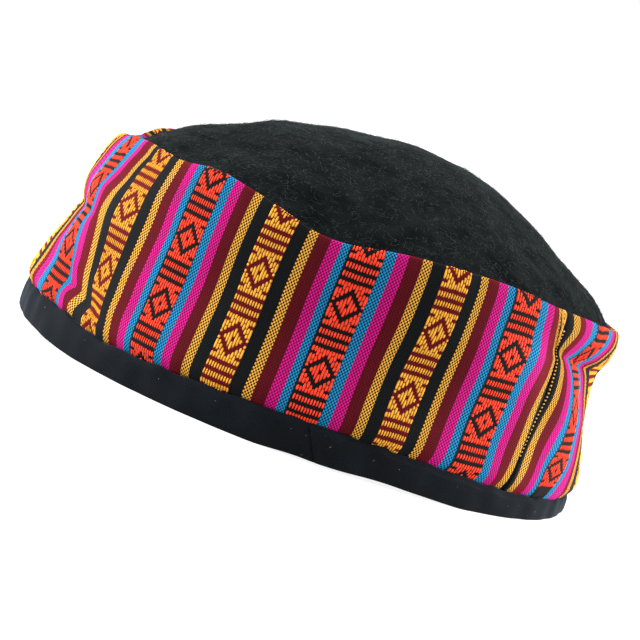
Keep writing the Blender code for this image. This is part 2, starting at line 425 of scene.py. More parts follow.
# The first row of each table has the heights. Each further row has a warp's place along the cloth in half
# repeats, then its angle at those heights.
WARPS_ROUND = (
    (10, 22, 35, 46, 50, 55, 64),
    (10.0, 95.0, 98.7, 99.5, 100.5, 102.0, 103.2, 105.0),
    (11.0, 111.7, 115.1, 116.0, 115.9, 117.2, 118.8, 120.3),
    (13.0, 145.7, 148.4, 148.8, 148.4, 149.1, 150.3, 151.8),
    (15.0, 179.7, 181.7, 181.7, 181.1, 181.7, 182.7, 184.4),
    (18.5, 238.8, 239.2, 239.2, 238.6, 237.0, 236.0, 237.5),
)
WARPS_AT_LEFT = (
    (10, 13, 16, 19, 22, 27, 33, 38, 41, 44, 48, 54, 58, 63),
    (20.0, 262.0, 262.5, 263.0, 263.0, 262.8, 263.2, 265.5, 267.0, 267.0, 265.0, 260.5, 258.0, 257.0, 258.0),
    (21.327, 284.0, 284.5, 285.3, 285.1, 284.8, 285.0, 288.6, 290.8, 290.8, 289.2, 284.0, 283.8, 284.6, 287.2),
    (21.434, 286.2, 286.7, 287.3, 287.4, 286.9, 286.6, 289.9, 292.2, 292.4, 290.4, 285.5, 285.3, 286.1, 288.7),
    (21.586, 289.3, 289.6, 289.8, 289.9, 289.2, 288.2, 291.5, 293.6, 293.9, 291.9, 287.2, 286.8, 287.7, 290.2),
    (21.708, 290.6, 292.4, 293.2, 293.0, 292.3, 290.8, 291.9, 293.9, 294.5, 293.4, 291.0, 290.9, 291.4, 292.4),
    (21.823, 293.6, 296.0, 296.5, 295.7, 295.0, 293.0, 293.3, 295.2, 295.6, 294.2, 292.2, 293.2, 294.4, 296.4),
    (22.177, 302.0, 302.8, 302.8, 302.5, 301.5, 300.6, 298.3, 298.3, 298.8, 298.2, 297.2, 299.3, 300.4, 301.6),
    (22.292, 303.4, 304.2, 303.9, 303.9, 302.4, 301.8, 300.3, 299.8, 300.1, 299.5, 298.5, 300.6, 302.2, 304.1),
    (22.414, 305.8, 306.1, 305.3, 306.0, 304.4, 304.1, 302.9, 301.7, 301.5, 301.1, 300.1, 302.4, 303.7, 305.8),
    (22.566, 307.8, 307.8, 308.0, 308.3, 307.1, 306.9, 305.9, 304.7, 303.4, 303.0, 303.4, 305.4, 306.5, 308.5),
    (22.673, 309.6, 310.2, 310.6, 310.4, 309.4, 308.8, 307.8, 306.8, 306.0, 305.6, 305.4, 306.8, 307.8, 309.8),
    (22.826, 313.3, 313.5, 313.7, 312.8, 311.4, 310.9, 310.1, 309.3, 308.6, 308.3, 308.3, 308.9, 309.6, 311.5),
    (23.174, 318.4, 318.0, 317.4, 316.8, 316.3, 315.7, 315.2, 315.0, 314.8, 314.8, 314.8, 314.9, 315.5, 316.5),
)
WARPS_IN_FRONT = (
    (10, 22, 35, 46, 50, 55, 64),
    (24.0, 330.3, 329.2, 328.7, 328.7, 328.7, 328.8, 329.0),
    (25.0, 345.7, 345.6, 345.4, 345.3, 345.4, 345.6, 346.0),
    (26.0, 362.5, 362.7, 363.0, 363.2, 363.3, 363.4, 363.5),
    (27.0, 378.7, 379.5, 380.6, 381.5, 381.6, 381.7, 381.8),
    (27.586, 387.6, 389.0, 390.1, 390.8, 390.9, 391.0, 391.1),
    (28.0, 395.7, 397.0, 398.2, 399.0, 399.1, 399.2, 399.3),
)
front_and_back = (*WARPS_ROUND[1:], *WARPS_AT_LEFT[1:], *WARPS_IN_FRONT[1:])
print("Warps away from the join:", len(front_and_back))

# %% [markdown]
# ## The stripes beside the join
#
# Right of the join the cloth is drawn into a deep pinch, and the stripes bend sharply round it, so the
# tables for this place have more heights. The two ends of the cloth are rows of their own. They lie at the
# same angle, one whole turn apart, because that is where they meet.

# %% Write down the warps beside the join
WARPS_AFTER_JOIN = (
    (10, 17, 24, 31, 38, 43, 46, 49, 51.5, 54, 58, 63),
    (CLOTH_START, 47.2, 49.1, 50.8, 51.9, 53.9, 54.9, 55.8, 56.8, 55.3, 54.2, 53.0, 52.2),
    (7.326, 48.6, 50.5, 52.1, 53.7, 55.6, 56.8, 57.5, 58.1, 56.3, 55.9, 56.1, 54.8),
    (7.433, 50.3, 53.1, 54.3, 55.7, 57.3, 58.2, 59.0, 59.1, 57.9, 58.0, 58.4, 57.1),
    (7.586, 53.4, 55.6, 57.3, 58.8, 59.3, 60.0, 60.6, 60.7, 60.2, 60.4, 60.6, 59.3),
    (7.708, 55.4, 57.5, 59.9, 61.4, 61.3, 62.0, 63.0, 63.4, 63.4, 63.5, 63.6, 62.8),
    (7.823, 56.9, 59.4, 63.4, 64.1, 63.4, 63.8, 64.7, 66.3, 65.8, 66.0, 66.8, 65.4),
    (8.177, 62.3, 67.8, 68.8, 69.4, 67.9, 69.0, 71.0, 72.3, 72.4, 73.0, 73.6, 73.8),
    (8.292, 64.5, 70.0, 70.7, 72.0, 69.6, 71.2, 73.2, 74.5, 74.7, 75.4, 76.4, 76.6),
    (8.414, 69.4, 72.7, 73.0, 74.7, 72.3, 74.0, 75.2, 76.6, 76.8, 77.7, 78.4, 78.6),
    (8.566, 72.1, 74.7, 75.4, 76.3, 74.0, 76.0, 77.0, 78.4, 78.7, 80.2, 81.9, 82.0),
    (8.673, 74.6, 77.2, 78.1, 77.7, 75.8, 77.4, 78.4, 79.7, 80.1, 81.9, 84.0, 84.9),
    (8.826, 78.2, 80.4, 80.9, 79.5, 78.0, 79.6, 80.8, 81.9, 82.8, 85.0, 87.0, 88.2),
    (9.174, 84.0, 86.3, 86.3, 84.2, 83.0, 84.4, 86.2, 87.7, 88.7, 90.0, 92.0, 93.2),
)
WARPS_BEFORE_JOIN = (
    (10, 17, 24, 31, 38, 43, 46, 49, 51.5, 54, 58, 63),
    (28.414, 403.0, 403.7, 404.6, 405.7, 406.6, 408.2, 409.4, 410.4, 410.1, 408.7, 407.5, 407.0),
    (28.566, 404.7, 406.4, 407.5, 408.3, 410.3, 412.7, 413.9, 415.0, 413.8, 412.0, 410.1, 409.0),
    (28.673, 406.4, 408.3, 409.5, 410.4, 412.0, 414.1, 415.1, 416.1, 414.7, 413.1, 411.0, 410.2),
    (CLOTH_END, 407.2, 409.1, 410.8, 411.9, 413.9, 414.9, 415.8, 416.8, 415.3, 414.2, 413.0, 412.2),
)
WARP_HEIGHTS = (10, 13, 16, 19, 22, 27, 31, 35, 38, 41, 43, 46, 49, 51.5, 54, 58, 63)
warp_rows = []
for heights, *rows in (WARPS_AFTER_JOIN, WARPS_ROUND, WARPS_AT_LEFT, WARPS_IN_FRONT, WARPS_BEFORE_JOIN):
    warp_rows += [(place, *smooth_rows(np.array(WARP_HEIGHTS), heights, angles)) for place, *angles in rows]
warp_places, *warp_columns = zip(*warp_rows)
print("Warps written down:", len(warp_rows), "each at", len(WARP_HEIGHTS), "heights")

# %% [markdown]
# ## Laying the cloth
#
# The cloth is a grid of points, with columns along its length and rows up its width. For each point the
# tables say at which angle its warp is, and the sections and folds say how far out and how high. The height
# changes the angle and the angle changes the height, so they are worked out in turn four times. The two
# seams gather the cloth a little, which gives small puckers along its edges. A cloth simulation could drape
# the strip, but it wouldn't bring each stripe to the place where it lies on this cap.

# %% Lay the cloth round the cap
COLUMN_WIDTH = 0.9
BODY_ROWS, EDGE_ROWS = 44, 13
RIM_PUCKERS, TOP_PUCKERS = 0.16, 0.22


def warp_angle(halves, height):
    """The angle round the cap at which a warp of the cloth is, at a height."""
    weights = levels(np.clip(height, WARP_HEIGHTS[0], WARP_HEIGHTS[-1]), WARP_HEIGHTS)
    pairs = zip(weights, warp_columns)
    return sum(weight * smooth_rows(halves, warp_places, angles) for weight, angles in pairs)


def small_puckers(halves, share):
    """Gathers that the two seams pull into the cloth, and soft unevenness between them."""
    along = halves * HALF_REPEAT
    gathers = np.sin(along * 0.55 + 1.3 * np.sin(along * 0.071)) + 0.6 * np.sin(along * 0.91 + 2.0)
    at_rim = RIM_PUCKERS * np.exp(-share / 0.07)
    at_top = TOP_PUCKERS * np.exp(-(1 - share) / 0.08)
    soft = 0.25 * np.sin(along * 0.083 + 7 * share) + 0.18 * np.sin(along * 0.19 - 11 * share + 1.0)
    return gathers * (at_rim + at_top) + soft * np.sin(np.pi * np.clip(share, 0, 1))


def join_valley(halves):
    """How far the cloth turns in at its sewn ends."""
    from_end = np.minimum(halves - CLOTH_START, CLOTH_END - halves) * HALF_REPEAT
    return 0.9 * np.exp(-((from_end / 0.7) ** 2))


def lay_cloth(halves, share):
    """Outer face of the laid cloth: a row for each share of the way up, a column for each place along."""
    halves, share = np.meshgrid(halves, share)
    height = WARP_HEIGHTS[0] + (WARP_HEIGHTS[-1] - WARP_HEIGHTS[0]) * share
    for _ in range(4):
        angle = warp_angle(halves, height)
        radius, height = cloth_radius_height(angle, share)
    radius = radius + small_puckers(halves, share) - join_valley(halves)
    return around(radius, angle, height)


near_join = np.array((0.0, 0.25, 0.5, 0.8, 1.2, 1.7, 2.4)) / HALF_REPEAT
plain_columns = int((CLOTH_END - CLOTH_START) * HALF_REPEAT / COLUMN_WIDTH)
plain = np.linspace(CLOTH_START + near_join[-1], CLOTH_END - near_join[-1], plain_columns)
columns = np.concatenate([CLOTH_START + near_join[:-1], plain, CLOTH_END - near_join[-2::-1]])
shares = np.concatenate([np.linspace(0.0, 0.88, BODY_ROWS), np.linspace(0.9, 1.0, EDGE_ROWS)])
cloth = lay_cloth(columns, shares)
cloth_normals = grid_normals(cloth, goes_round=False)
print("The laid cloth has", len(shares), "rows and", len(columns), "columns of points")

# %% [markdown]
# ## Measuring the laid cloth
#
# The weave needs to know where each point was when the cloth lay flat. Along the cloth that is its column.
# Up the cloth it is the distance walked over the folds from the lower edge, counted so that the middle of a
# figure lies at one height all round. Single stripes slipped up or down a little in the sewing, and a short
# table says how far.

# %% Measure the laid cloth
FIGURE_REPEAT = 20.5
FIGURE_MIDDLE = 36.3
SLIPPED_UP = {
    # half repeats along the cloth: how far the figures slipped up, in mm
    7: 8.2, 9: 8.2, 21: 2.6, 22: 2.5, 23: 0.9, 24: -0.4,
    25: -1.2, 26: -1.1, 27: 0.2, 28: 0.1, 29: 0.1,
}

rising = slice(0, BODY_ROWS + 1)
steps = np.linalg.norm(np.diff(cloth, axis=0), axis=-1)
run = np.concatenate([np.zeros((1, len(columns))), np.cumsum(steps, axis=0)])
slips = np.interp(columns, list(SLIPPED_UP), list(SLIPPED_UP.values()))
zero = np.array([np.interp(FIGURE_MIDDLE, cloth[rising, i, 2], run[rising, i]) for i in range(len(columns))])
up_cloth = run - zero - slips + FIGURE_REPEAT / 2
flat_places = np.stack([np.broadcast_to(columns * HALF_REPEAT, up_cloth.shape), up_cloth], axis=-1)
print("It is", round(float(run[-1].mean()), 1), "mm wide on average")

# %% [markdown]
# ## The finish of the striped cloth
#
# The cloth is yarn-dyed cotton: each stripe is a set of dyed warp yarns that run up the band, crossed by a
# dark weft. Where a pale warp passes over the weft the eye sees a bright oval, and where it dives under
# there is a dark dot, so the plain stripes look like a fine check. The colour ramp is read at the distance
# from the nearest orange stripe. The check repeats every 0.98 mm along and 1.24 mm up, which are two warps
# and two wefts. Cotton scatters light and has a faint sheen at grazing angles, tinted by the yarn's own
# dye.

# %% Finish the striped cloth
STRIPES = (
    # name, width in mm, warp colour, weft colour seen between the warps, colour of the sheen
    ("orange figure ground", 4.65, "#17100F", "#0E0A0A", "#40383C"),
    ("blue", 3.00, "#1C78A6", "#031A32", "#40C0F8"),
    ("pink", 3.20, "#B81470", "#52022C", "#FF44D4"),
    ("maroon", 4.00, "#4A0910", "#32060C", "#F8244C"),
    ("yellow check", 2.80, "#CC9438", "#180E04", "#8C6C28"),
    ("black", 4.00, "#0B0D0E", "#060708", "#50545C"),
    ("yellow figure ground", 4.55, "#560C10", "#3E080C", "#E0304C"),
)
CHECK_REPEAT_ALONG = 0.98
CHECK_REPEAT_UP = 1.24
OUTLINE_WIDTH = 0.6


def stripe_ramp(finish, distance, colour_index):
    """A colour ramp with a sharp step for each stripe, read at a distance from an orange stripe's middle."""
    ramp = add_node(finish, "ShaderNodeValToRGB", {"Fac": distance})
    ramp.color_ramp.interpolation = "CONSTANT"
    edge = 0.0
    for stripe in STRIPES:
        position = edge / HALF_REPEAT
        stop = ramp.color_ramp.elements.new(position) if edge else ramp.color_ramp.elements[0]
        stop.color = linear(stripe[colour_index])
        edge += stripe[1]
    ramp.color_ramp.elements.remove(ramp.color_ramp.elements[-1])
    return ramp


def finish_cloth():
    """Yarn-dyed cotton woven in stripes: matt, with a fine check of warp over weft and a faint sheen."""
    finish, shader = new_finish("yarn_dyed_cotton_woven_in_stripes")
    kept = add_node(finish, "ShaderNodeAttribute", attribute_name="flat_place")
    place = add_node(finish, "ShaderNodeSeparateXYZ", {0: kept.outputs["Vector"]})
    along, up, side = place.outputs
    mirrored = add_node(finish, "ShaderNodeMath", {0: along, 1: HALF_REPEAT}, operation="PINGPONG")
    distance = add_node(finish, "ShaderNodeMath", {0: mirrored, 1: HALF_REPEAT}, operation="DIVIDE")
    warp = stripe_ramp(finish, distance, 2)
    weft = stripe_ramp(finish, distance, 3)
    sheen = stripe_ramp(finish, distance, 4)
    # The check: a dark dot wherever the two waves are both up or both down
    waves = []
    for direction, repeat in ((along, CHECK_REPEAT_ALONG), (up, CHECK_REPEAT_UP)):
        phase_inputs = {0: direction, 1: 2 * math.pi / repeat}
        phase = add_node(finish, "ShaderNodeMath", phase_inputs, operation="MULTIPLY")
        waves.append(add_node(finish, "ShaderNodeMath", {0: phase}, operation="SINE"))
    check = add_node(finish, "ShaderNodeMath", {0: waves[0], 1: waves[1]}, operation="MULTIPLY")
    dots = add_node(finish, "ShaderNodeMapRange", {"Value": check, "From Min": -0.1, "From Max": 0.1})
    woven = add_node(finish, "ShaderNodeMix", {"Factor": dots, "A": warp, "B": weft}, data_type="RGBA")
    # A thin black outline on the left of each orange stripe
    signed_inputs = {0: along, 1: HALF_REPEAT, 2: -HALF_REPEAT}
    signed = add_node(finish, "ShaderNodeMath", signed_inputs, operation="WRAP")
    middle = -(STRIPES[0][1] + OUTLINE_WIDTH / 2)
    outline_inputs = {0: signed, 1: middle, 2: OUTLINE_WIDTH / 2}
    outline = add_node(finish, "ShaderNodeMath", outline_inputs, operation="COMPARE")
    lined_inputs = {"Factor": outline, "A": woven, "B": linear("#0E0D0F")}
    lined = add_node(finish, "ShaderNodeMix", lined_inputs, data_type="RGBA")
    # Each warp took the dye a little differently, which shows as faint lines up the cloth
    stretched = add_node(finish, "ShaderNodeCombineXYZ", {"X": along, "Y": up, "Z": side})
    drawn_inputs = {0: stretched, 1: (1.6, 0.12, 1.0)}
    drawn_out = add_node(finish, "ShaderNodeVectorMath", drawn_inputs, operation="MULTIPLY")
    dye = add_node(finish, "ShaderNodeTexNoise", {"Vector": drawn_out, "Scale": 1.0, "Detail": 2.0})
    strength = add_node(finish, "ShaderNodeMapRange", {"Value": dye, "To Min": 0.78, "To Max": 1.22})
    inside = add_node(finish, "ShaderNodeMath", {0: side, 1: -0.35, 2: 1.0}, operation="MULTIPLY_ADD")
    value = add_node(finish, "ShaderNodeMath", {0: strength, 1: inside}, operation="MULTIPLY")
    dyed = add_node(finish, "ShaderNodeHueSaturation", {"Value": value, "Color": lined})
    relief = add_node(finish, "ShaderNodeMath", {0: dots, 1: -1.0}, operation="MULTIPLY")
    bump = add_node(finish, "ShaderNodeBump", {"Height": relief, "Strength": 0.5, "Distance": 0.12 * MM})
    fill_inputs(finish, shader, {
        "Base Color": dyed,
        "Roughness": 0.8,
        "Specular IOR Level": 0.05,
        "Sheen Weight": 0.35,
        "Sheen Roughness": 0.5,
        "Sheen Tint": sheen,
        "Normal": bump,
    })
    return finish


cloth_finish = finish_cloth()
print("Stripes in a half repeat:", ", ".join(stripe[0] for stripe in STRIPES))

# %% [markdown]
# ## The woven band
#
# The band is the laid cloth, thickened inwards. Its lower edge is caught in the rim seam, its upper edge is
# rolled over so that no cut threads show, and its two ends turn in at the join. It could be a tube that is
# painted with stripes, but a strip with two ends makes the join come out by itself: the pattern does not
# match there, as on the real cap.

# %% Make the woven band
CLOTH_THICKNESS = 1.4
inside_cloth = cloth - cloth_normals * CLOTH_THICKNESS
woven_band = thick_sheet("woven_band", cloth, inside_cloth, False, cloth_finish, flat_places)

# %% [markdown]
# ## The raised figures
#
# Between the plain stripes run the figured ones. Their coloured yarns float over the ground in short
# lengths that together draw a diamond with a dot, and bars between the diamonds. Each float is a little
# pillow of yarn: full in the middle and pinched at both ends, where it dives under the weft. It is real
# geometry here, because in the picture each one catches the light. The chart gives, for each column out
# from the figure's middle, the rows where it floats.

# %% Chart the figure
CHART_ROWS = 37
ROW_HEIGHT = FIGURE_REPEAT / CHART_ROWS
DIAMOND = (
    # floats of the inner diamond, then of the corners, in rows above the figure's middle, for columns 0 to 5
    ((1.0, 6.0), (9.5, 12.5)),
    ((-4.5, 4.5), (7.8, 12.5)),
    ((-2.75, 2.75), (6.1, 12.5)),
    ((-1.05, 1.05), (4.4, 12.5)),
    ((2.7, 8.3), (9.7, 12.5)),
    ((1.0, 8.3), (9.7, 12.5)),
)
BARS = ((14.5, 17.5), (19.5, 22.5))
LONGEST_FLOAT = 5.0
SHORTEST_FLOAT = 1.2
OVERRUN = 0.15
FULL_WIDTH = 1.12
BAR_WIDTH = 0.86


def split_span(start, end, column):
    """Cuts a long span of a column into floats, staggered from one column to the next."""
    stagger = LONGEST_FLOAT / 2 * (column % 2)
    ties = [tie * LONGEST_FLOAT + stagger for tie in range(-10, 11)]
    ties = [tie for tie in ties if start + SHORTEST_FLOAT < tie < end - SHORTEST_FLOAT]
    ends = [start, *ties, end]
    return list(zip(ends, ends[1:]))


def figure_floats():
    """The floats of one repeat: column, first row, last row and width as a share of the column."""
    floats = []
    for column in range(-5, 6):
        for start, end in DIAMOND[abs(column)]:
            pieces = [(start, end)] if start < 0 else split_span(start, end, column)
            floats += [(column, low - OVERRUN, high + OVERRUN, FULL_WIDTH) for low, high in pieces]
            if start > 0:
                floats += [(column, -high - OVERRUN, -low + OVERRUN, FULL_WIDTH) for low, high in pieces]
        floats += [(column, start - OVERRUN, end + OVERRUN, BAR_WIDTH) for start, end in BARS]
    return np.array(floats, float)


figure = figure_floats()
print("One repeat of the figure has", len(figure), "floats")

# %% [markdown]
# ## Where a place on the cloth is
#
# A float, a dot of yarn or a loose thread is placed by where it lies on the flat cloth. To find that place
# on the cap, the laid cloth is read once more at even steps up its length, and a place between the steps is
# blended from its four neighbours. The outward direction comes with it, so that yarn can be raised from the
# cloth.

# %% Read the laid cloth at any place
UP_STEP = 0.5
up_steps = np.arange(math.floor(up_cloth.min()), math.ceil(up_cloth.max()) + UP_STEP, UP_STEP)
cloth_and_normals = np.concatenate([cloth, cloth_normals], axis=-1)
even_cloth = np.empty((len(up_steps), len(columns), 6))
for column in range(len(columns)):
    for part in range(6):
        values = cloth_and_normals[:, column, part]
        even_cloth[:, column, part] = np.interp(up_steps, up_cloth[:, column], values)


def cloth_at(halves, up):
    """Points of the laid cloth and their outward directions, at half repeats along and mm up."""
    column = np.clip(np.searchsorted(columns, halves) - 1, 0, len(columns) - 2)
    f = np.clip((halves - columns[column]) / (columns[column + 1] - columns[column]), 0, 1)[..., None]
    row_place = np.clip((up - up_steps[0]) / UP_STEP, 0, len(up_steps) - 1.001)
    row = row_place.astype(int)
    g = (row_place - row)[..., None]
    low = even_cloth[row, column] * (1 - f) + even_cloth[row, column + 1] * f
    high = even_cloth[row + 1, column] * (1 - f) + even_cloth[row + 1, column + 1] * f
    both = low * (1 - g) + high * g
    return both[..., :3], both[..., 3:]


sample_place, sample_normal = cloth_at(np.array([26.0]), np.array([FIGURE_REPEAT / 2]))
print("The middle orange stripe passes", sample_place[0].round(1), "facing", sample_normal[0].round(2))

# %% [markdown]
# ## The finish of the float yarn
#
# The figure yarns are thicker and softer than the ground, dyed one colour, and lie straight, so they look
# fuller and cleaner in colour than the checked stripes. Single floats differ a little, as yarns do, so each
# float keeps a random number that shifts its brightness. Each float is also painted darker along its low
# sides and at its ends: this is painted shade in the valleys between the floats.

# %% Finish the float yarn


def finish_yarn(name, hex_colour, painted_shade_colour):
    """Soft dyed cotton yarn on the cloth: matt, clean in colour, with painted shade on its low sides and ends.
    """
    finish, shader = new_finish(name)
    kept = add_node(finish, "ShaderNodeAttribute", attribute_name="flat_place")
    place = add_node(finish, "ShaderNodeSeparateXYZ", {0: kept.outputs["Vector"]})
    chance, height, _ = place.outputs
    # Painted shade: the yarn is coloured darker where it lies low on its float, along its sides and at its
    # ends
    shade = add_node(finish, "ShaderNodeMapRange", {"Value": height, "From Min": 0.1, "From Max": 0.75})
    colour_inputs = {"Factor": shade, "A": linear(painted_shade_colour), "B": linear(hex_colour)}
    colour = add_node(finish, "ShaderNodeMix", colour_inputs, data_type="RGBA")
    strength = add_node(finish, "ShaderNodeMapRange", {"Value": chance, "To Min": 0.86, "To Max": 1.1})
    dyed = add_node(finish, "ShaderNodeHueSaturation", {"Value": strength, "Color": colour})
    fill_inputs(finish, shader, {
        "Base Color": dyed,
        "Roughness": 0.75,
        "Specular IOR Level": 0.1,
        "Sheen Weight": 0.2,
        "Sheen Roughness": 0.3,
        "Sheen Tint": linear("#E8F4E0"),
    })
    return finish


orange_yarn = finish_yarn("soft_orange_cotton_yarn", "#EC3A1E", "#A01C0A")
yellow_yarn = finish_yarn("soft_yellow_cotton_yarn", "#DC9C2C", "#7E4A10")
print("Yarns:", orange_yarn.name, "and", yellow_yarn.name)

# %% [markdown]
# ## Laying the floats
#
# One float has five stations along its length and three points across, a low bottom sunk in the cloth and
# two closed ends. All floats are worked out at once as arrays: for each one its column's place along the
# cloth and its two ends up it, then the points, then the same small set of faces for each.

# %% Lay the floats
STATIONS = (0.0, 0.16, 0.5, 0.84, 1.0)
STATION_WIDTH = (0.55, 0.92, 1.0, 0.92, 0.55)
STATION_LIFT = (0.0, 0.17, 0.24, 0.17, 0.0)
SUNK = 0.06
EDGE_MARGIN = 0.25
SHORTEST_SHOWN = 0.3
chance = np.random.default_rng(7)


def float_faces():
    """The faces of one float: two rows of quads on top, one below, and two triangles that close its ends."""
    faces = []
    for station in range(len(STATIONS) - 1):
        a = station * 3
        faces += [(a, a + 1, a + 4, a + 3), (a + 1, a + 2, a + 5, a + 4), (a + 2, a, a + 3, a + 5)]
    last = (len(STATIONS) - 1) * 3
    return faces, [(2, 1, 0), (last, last + 1, last + 2)]


def lay_rows(name, laid, column_width, finish):
    """Floats from rows of: place in half repeats, low end, high end, share of the column's width."""
    lowest = np.interp(laid[:, 0], columns, up_cloth[0]) + EDGE_MARGIN
    highest = np.interp(laid[:, 0], columns, up_cloth[-1]) - EDGE_MARGIN
    laid[:, 1] = np.maximum(laid[:, 1], lowest)
    laid[:, 2] = np.minimum(laid[:, 2], highest)
    kept = (laid[:, 2] - laid[:, 1] > SHORTEST_SHOWN) & (laid[:, 0] > CLOTH_START) & (laid[:, 0] < CLOTH_END)
    laid = laid[kept]
    up = laid[:, 1, None] + (laid[:, 2] - laid[:, 1])[:, None] * np.array(STATIONS)
    sides = np.array((-0.5, 0.0, 0.5))
    across = laid[:, 3, None, None] * np.array(STATION_WIDTH)[:, None] * sides * column_width
    halves = laid[:, 0, None, None] + across / HALF_REPEAT
    place, outward = cloth_at(halves, np.broadcast_to(up[..., None], halves.shape))
    lift = np.array(STATION_LIFT)[:, None] * np.array((0.0, 1.0, 0.0)) + np.array((-SUNK, 0.02, -SUNK))
    points = place + outward * lift[None, ..., None]
    # How high each point lies on its float, kept for the yarn's painted shade on its low sides and ends
    height = np.array(STATION_LIFT)[:, None] / max(STATION_LIFT) * np.array((0.45, 1.0, 0.45))
    draw = chance.uniform(0, 1, len(laid))
    kept_values = np.stack(np.broadcast_arrays(draw[:, None, None], height[None], 0.0), axis=-1)
    quads, ends = float_faces()
    first = np.arange(len(laid))[:, None, None] * len(STATIONS) * 3
    faces = (first + np.array(quads)[None]).reshape(-1, 4).tolist()
    faces += (first + np.array(ends)[None]).reshape(-1, 3).tolist()
    return new_piece(name, points, faces, finish, kept_values.reshape(-1, 3))


def lay_floats(name, stripes, stripe_width, finish):
    """All the floats of one colour, on the figured stripes that are given."""
    column_width = stripe_width / 11
    laid = []
    for stripe in stripes:
        for repeat in range(-1, 3):
            part = figure.copy()
            part[:, 0] = stripe + part[:, 0] * column_width / HALF_REPEAT
            part[:, 1:3] = part[:, 1:3] * ROW_HEIGHT + repeat * FIGURE_REPEAT
            laid.append(part)
    laid = np.concatenate(laid)
    laid[:, 1:3] += chance.uniform(-0.07, 0.07, (len(laid), 2))
    return lay_rows(name, laid, column_width, finish)


stripes = range(math.ceil(CLOTH_START), math.floor(CLOTH_END) + 1)
orange_stripes = [stripe for stripe in stripes if stripe % 2 == 0]
yellow_stripes = [stripe for stripe in stripes if stripe % 2 == 1]
orange_floats = lay_floats("orange_floats", orange_stripes, 2 * STRIPES[0][1], orange_yarn)
yellow_floats = lay_floats("yellow_floats", yellow_stripes, 2 * STRIPES[-1][1], yellow_yarn)

# %% [markdown]
# ## The join
#
# At the join the cloth's two ends are turned in and sewn together. Just right of the seam one yellow warp
# shows by itself as a row of dots, because the seam took in the rest of its stripe. The dots could be
# painted on, but they are laid as short floats, one for each time that the warp comes to the face, so that
# they catch the light too.

# %% Show the lone warp
DOT_LENGTH, DOT_WIDTH = 0.62, 0.5
LONE_WARP = CLOTH_START + 0.5 / HALF_REPEAT
DOTS_FROM_TO = (-17.0, 26.5)
dot_ups = np.arange(*DOTS_FROM_TO, CHECK_REPEAT_UP)
dot_rows = np.array([(LONE_WARP, up, up + DOT_LENGTH, 1.0) for up in dot_ups])
pale_gold_yarn = finish_yarn("pale_gold_cotton_yarn", "#D9A24A", "#8A5C1C")
lone_warp_dots = lay_rows("lone_warp_dots", dot_rows, DOT_WIDTH, pale_gold_yarn)

# %% [markdown]
# ## The frayed threads
#
# At the top of the join the yellow stripe has frayed into a few loose loops of thread. Each loop is a thin
# tube along a curved path, and its two rows in the table say where it runs along the cloth and how far
# below the top. It leaves the cloth and comes back to it. Real tubes are used, because loose threads stand
# off the cloth and shade it.

# %% Show the frayed threads


def tube(paths, outwards, radius, sides=5):
    """Points and faces of thin tubes along paths, each with closed ends."""
    count, stations = paths.shape[:2]
    ahead = np.gradient(paths, axis=1)
    ahead /= np.linalg.norm(ahead, axis=-1, keepdims=True)
    sideways = np.cross(ahead, outwards)
    sideways /= np.linalg.norm(sideways, axis=-1, keepdims=True)
    upward = np.cross(sideways, ahead)
    turns = np.arange(sides) * 2 * np.pi / sides
    spread = np.cos(turns)[:, None] * sideways[:, :, None] + np.sin(turns)[:, None] * upward[:, :, None]
    points = paths[:, :, None] + spread * radius
    faces = []
    for tube_number in range(count):
        first = tube_number * stations * sides
        for station in range(stations - 1):
            for side in range(sides):
                a = first + station * sides + side
                b = first + station * sides + (side + 1) % sides
                faces.append((a, b, b + sides, a + sides))
        last = first + (stations - 1) * sides
        faces.append(tuple(range(first + sides - 1, first - 1, -1)))
        faces.append(tuple(range(last, last + sides)))
    return points, faces


def finish_fibre(name, hex_colour):
    """Single fibres of cotton, wool or lint: thin and matt."""
    finish, shader = new_finish(name)
    fibre_inputs = {"Base Color": linear(hex_colour), "Roughness": 0.7, "Specular IOR Level": 0.3}
    fill_inputs(finish, shader, fibre_inputs)
    return finish


THREADS = (
    # places along the cloth in half repeats, then heights below its top in mm, both at even steps
    ((28.672, 28.690, 28.712, 28.716, 28.700, 28.692), (0.3, 1.4, 3.4, 5.6, 8.0, 10.0)),
    ((28.662, 28.684, 28.698, 28.684, 28.672, 28.686), (0.5, 2.6, 4.6, 6.4, 8.6, 11.5)),
    ((28.668, 28.674, 28.700, 28.712, 28.690, 28.676), (1.0, 3.4, 4.6, 7.0, 9.6, 12.4)),
    ((28.664, 28.668, 28.680, 28.694, 28.684, 28.680), (0.6, 3.8, 6.6, 8.8, 11.4, 14.0)),
    ((28.676, 28.698, 28.704, 28.708, 28.692, 28.684), (0.8, 2.2, 4.0, 6.2, 7.6, 9.2)),
    ((28.670, 28.688, 28.690, 28.698, 28.694, 28.680), (1.4, 1.9, 5.2, 7.4, 10.4, 13.2)),
    ((28.680, 28.680, 28.706, 28.690, 28.700, 28.688), (0.4, 4.2, 5.0, 8.2, 9.0, 12.0)),
)
THREAD_STATIONS = 30
THREAD_RADIUS = 0.17
THREAD_TOP_PLACE = 28.69
THREAD_LIFT = (0.1, 0.5, 0.7, 0.45, 0.6, 0.1)
thread_steps = np.linspace(0, len(THREAD_LIFT) - 1, THREAD_STATIONS)
thread_tables = np.array([THREAD_LIFT] + [column for thread in THREADS for column in thread])
smoothed = [smooth_rows(thread_steps, np.arange(len(THREAD_LIFT)), column) for column in thread_tables]
thread_lift, thread_halves, thread_below = smoothed[0], np.array(smoothed[1::2]), np.array(smoothed[2::2])
thread_ups = np.interp(THREAD_TOP_PLACE, columns, up_cloth[-3]) - thread_below
thread_place, thread_outward = cloth_at(thread_halves, thread_ups)
thread_paths = thread_place + thread_outward * thread_lift[:, None]
thread_points, thread_faces = tube(thread_paths, thread_outward, THREAD_RADIUS)
frayed_gold = finish_fibre("frayed_gold_cotton", "#C98F30")
frayed_threads = new_piece("frayed_threads", thread_points, thread_faces, frayed_gold)

